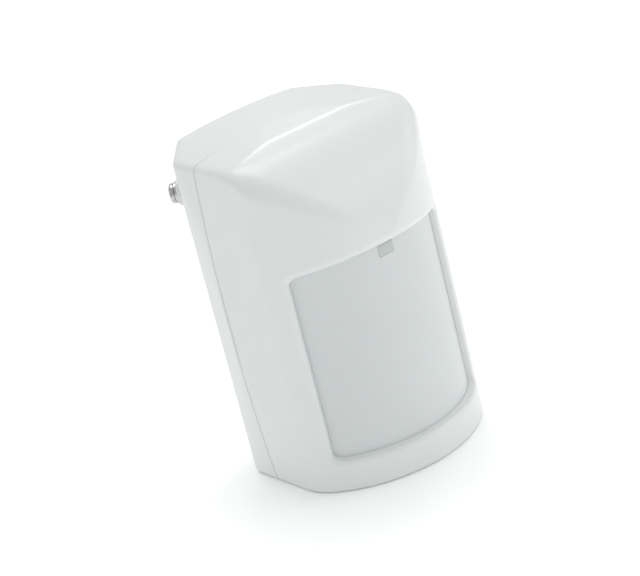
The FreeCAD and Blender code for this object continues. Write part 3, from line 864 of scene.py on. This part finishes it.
relief.inputs["Strength"].default_value = 0.4
relief.inputs["Distance"].default_value = 0.03 * mm
links.new(tracks.outputs["Fac"], relief.inputs["Height"])
links.new(relief.outputs["Normal"], shader.inputs["Normal"])
dress(frame["nodes"]["circuit_board"].data, board_green)

# ---------------------------------------------------------------------------------------------
# Parts on the board. The infrared sensor sits in a nickel can with a dark filter, inside a
# white collar; round it stand the terminal block, lamp, relay, capacitors, chip and crystal.
# Most keep their CAD shape and have the finish of the real part.


def plated(name, colour, other, roughness, scale=700):
    """Plated or drawn metal with faint blotches and fine marks."""
    material, nodes, links, shader = shader_of(name)
    shader.inputs["Metallic"].default_value = 1.0
    shader.inputs["Roughness"].default_value = roughness
    place = cloudy_colour(nodes, links, shader.inputs["Base Color"], colour, other, scale)
    fine_grain(nodes, links, shader, place, 2200, 0.02 * mm, 0.2)
    return material


finishes = {
    "infrared_sensor_can": plated("nickel_can", (0.62, 0.60, 0.55), (0.74, 0.72, 0.67), 0.22),
    "infrared_sensor_filter": moulded("dark_filter", (0.016, 0.014, 0.020), 0.12, 0.3, 0.05),
    "sensor_collar": moulded("collar_white", (0.74, 0.74, 0.72), 0.45, 0.05),
    "terminal_block": moulded("terminal_green", (0.045, 0.215, 0.105), 0.42, 0.12),
    "terminal_clamps": plated("tinned_clamp", (0.60, 0.60, 0.58), (0.74, 0.74, 0.72), 0.3),
    "status_lamp": moulded("lamp_red", (0.52, 0.022, 0.018), 0.14, 0.15, 0.03, 0.5),
    "alarm_relay": moulded("relay_black", (0.022, 0.022, 0.024), 0.36, 0.25),
    "dip_switch_block": moulded("switch_blue", (0.025, 0.085, 0.30), 0.4, 0.12),
    "tamper_switch": moulded("switch_black", (0.025, 0.025, 0.027), 0.42, 0.25),
    "tamper_plunger": moulded("plunger_red", (0.46, 0.035, 0.025), 0.4, 0.12),
    "crystal": plated("crystal_can", (0.66, 0.65, 0.62), (0.78, 0.77, 0.74), 0.2),
}
for number in (1, 2, 3):
    lever_white = moulded("lever_white_%d" % number, (0.72, 0.72, 0.70), 0.4, 0.05)
    finishes["dip_lever_%d" % number] = lever_white
for node, finish in finishes.items():
    dress(frame["nodes"][node].data, finish)

# ---------------------------------------------------------------------------------------------
# Capacitors: aluminium cans in a dark sleeve, rolled in near the top, with a pressed cross that
# lets pressure out.

can_low, can_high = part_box("capacitors")
can_radius = (can_high.x - can_low.x) / 2 - 0.2 * mm
can_x = (can_low.x + can_high.x) / 2
can_top, can_foot = can_low.y, can_high.y
can_tall = can_foot - can_top
can_places = (32.0 * mm, 40.0 * mm)
score_half, score_wide, score_deep = 1.3 * mm, 0.1 * mm, 0.25 * mm
sleeve_from, sleeve_to = can_top + 0.30 * mm, can_top + 0.36 * mm
profile = [(can_radius - 0.3 * mm, 0), (can_radius, 0.3 * mm), (can_radius, can_tall - 2.0 * mm),
           (can_radius - 0.25 * mm, can_tall - 1.6 * mm), (can_radius, can_tall - 1.2 * mm),
           (can_radius, can_tall - 0.35 * mm), (can_radius - 0.35 * mm, can_tall),
           (can_radius - 0.8 * mm, can_tall - 0.1 * mm)]
cans = []
for z in can_places:
    can = turned(profile, (can_x, can_foot, z), (0, -1, 0))
    scores = [bar((can_x - across, can_top - 0.5 * mm, z - up),
                  (can_x + across, can_top + score_deep, z + up), 0)
              for across, up in ((score_half, score_wide), (score_wide, score_half))]
    cans.append(cut(can, scores))


def two_colours(nodes, links, share, first, second, socket):
    """Colour of a socket that changes from the first to the second with the share."""
    mix = nodes.new("ShaderNodeMix")
    mix.data_type = "RGBA"
    mix.inputs["A"].default_value = (*first, 1)
    mix.inputs["B"].default_value = (*second, 1)
    links.new(share, mix.inputs["Factor"])
    links.new(mix.outputs["Result"], socket)


sleeve, nodes, links, shader = shader_of("capacitor_sleeve")
shader.inputs["Roughness"].default_value = 0.32
place = nodes.new("ShaderNodeTexCoord")
split = nodes.new("ShaderNodeSeparateXYZ")
links.new(place.outputs["Object"], split.inputs["Vector"])
ramp = nodes.new("ShaderNodeMapRange")
ramp.inputs["From Min"].default_value = sleeve_from
ramp.inputs["From Max"].default_value = sleeve_to
links.new(split.outputs["Y"], ramp.inputs["Value"])
two_colours(nodes, links, ramp.outputs["Result"], (0.62, 0.62, 0.61), (0.018, 0.022, 0.050),
            shader.inputs["Base Color"])
add_piece("capacitor_cans", joined(cans), sleeve, "board", ["capacitors"])

# ---------------------------------------------------------------------------------------------
# Resistors: rows of small ceramic chips, black glazed on top, tinned at both ends, soldered
# flat on the board.

chip_low, chip_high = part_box("resistors")
chip_pitch, row_pitch = 3.4 * mm, 2.0 * mm
chip_middle, glaze_half = 1.0 * mm, 0.56 * mm
body_mesh = bar((0.3 * mm, -0.55 * mm, 0.03 * mm), (1.7 * mm, 0, 1.17 * mm), 0.05 * mm)
ends = [bar((0, -0.6 * mm, 0), (0.42 * mm, 0, 1.2 * mm), 0.1 * mm),
        bar((1.58 * mm, -0.6 * mm, 0), (2.0 * mm, 0, 1.2 * mm), 0.1 * mm)]
glaze, nodes, links, shader = shader_of("resistor_glaze")
shader.inputs["Roughness"].default_value = 0.35
place = nodes.new("ShaderNodeTexCoord")
split = nodes.new("ShaderNodeSeparateXYZ")
links.new(place.outputs["Object"], split.inputs["Vector"])
band = split.outputs["X"]
for operation, values in (("SUBTRACT", (chip_low.x,)), ("FLOORED_MODULO", (chip_pitch,)),
                          ("COMPARE", (chip_middle, glaze_half))):
    step = nodes.new("ShaderNodeMath")
    step.operation = operation
    links.new(band, step.inputs[0])
    for place_in_row, value in enumerate(values, 1):
        step.inputs[place_in_row].default_value = value
    band = step.outputs[0]
two_colours(nodes, links, band, (0.60, 0.60, 0.58), (0.020, 0.020, 0.022),
            shader.inputs["Base Color"])
rows = grid_inputs(3, 4, (chip_low.x, chip_high.y, chip_low.z), (chip_pitch, row_pitch))
one_chip = joined([body_mesh, *ends])
resistor_rows = repeat_in_row("resistor_rows", one_chip, glaze, rows, grid_of_points)
add_piece("resistor_rows", resistor_rows, glaze, "board", ["resistors"])

# ---------------------------------------------------------------------------------------------
# Control chip: black moulded package with a dimple at pin one and two rows of bent tin legs.

low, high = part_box("control_chip")
leg_count, leg_pitch, leg_wide = 7, 1.27 * mm, 0.4 * mm
leg_reach = 1.1 * mm
package = bar((low.x, low.y, low.z + leg_reach),
              (high.x, high.y - 0.15 * mm, high.z - leg_reach), 0.15 * mm)
pin_one = (low.x + 1.1 * mm, low.y - 0.2 * mm, low.z + 2.0 * mm)
dimple = turned(pin(0.4 * mm, 0.4 * mm), pin_one, (0, 1, 0), 24)
chip_black = moulded("chip_black", (0.020, 0.020, 0.021), 0.48, 0.2, 0.4)
add_piece("chip_package", cut(package, [dimple]), chip_black, "board",
          ["control_chip"])
foot = joined([bar((0, -0.16 * mm, -0.55 * mm), (leg_wide, 0, 0.35 * mm), 0.05 * mm),
               bar((0, -0.75 * mm, 0.22 * mm), (leg_wide, 0, 0.38 * mm), 0.05 * mm),
               bar((0, -0.80 * mm, 0.25 * mm), (leg_wide, -0.62 * mm, 0.75 * mm), 0.05 * mm)])
tin = plated("tin_legs", (0.60, 0.60, 0.58), (0.72, 0.72, 0.70), 0.28)
legs = []
for name, start, flip in (("lower", low.z + 0.55 * mm, 1), ("upper", high.z - 0.55 * mm, -1)):
    leg = foot.copy()
    if flip < 0:
        leg.transform(Matrix.Translation((leg_wide, 0, 0)) @ Matrix.Rotation(math.pi, 4, "Y"))
    line = grid_inputs(leg_count, 1, (low.x + 0.6 * mm, high.y, start), (leg_pitch, 0.0))
    legs.append(repeat_in_row("chip_legs_" + name, leg, tin, line, grid_of_points))
add_piece("chip_legs", joined(legs), tin, "board", [])

# ---------------------------------------------------------------------------------------------
# Solder joints: small cones of bright solder where the leads of the terminal block and the
# relay come through the board's back.

cone = [(0.85 * mm, 0), (0.55 * mm, 0.15 * mm), (0.35 * mm, 0.45 * mm), (0.28 * mm, 0.75 * mm)]
joint_shape = turned(cone, (0, 0, 0), (0, 1, 0), 20)
solder = plated("solder", (0.60, 0.60, 0.59), (0.72, 0.72, 0.71), 0.3)
relay_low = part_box("alarm_relay")[0]
first_relay = (relay_low.x + 2.0 * mm, board_high.y, relay_low.z + 1.2 * mm)
first_terminal = (first_way[0], board_high.y, 16.0 * mm)
groups = {"terminal_joints": (ways, 2, first_terminal, (way_pitch, 4.0 * mm)),
          "relay_joints": (4, 2, first_relay, (3.6 * mm, 5.0 * mm))}
for name, grid in groups.items():
    mesh = repeat_in_row(name, joint_shape.copy(), solder, grid_inputs(*grid), grid_of_points)
    add_piece(name, mesh, solder, "board", [])
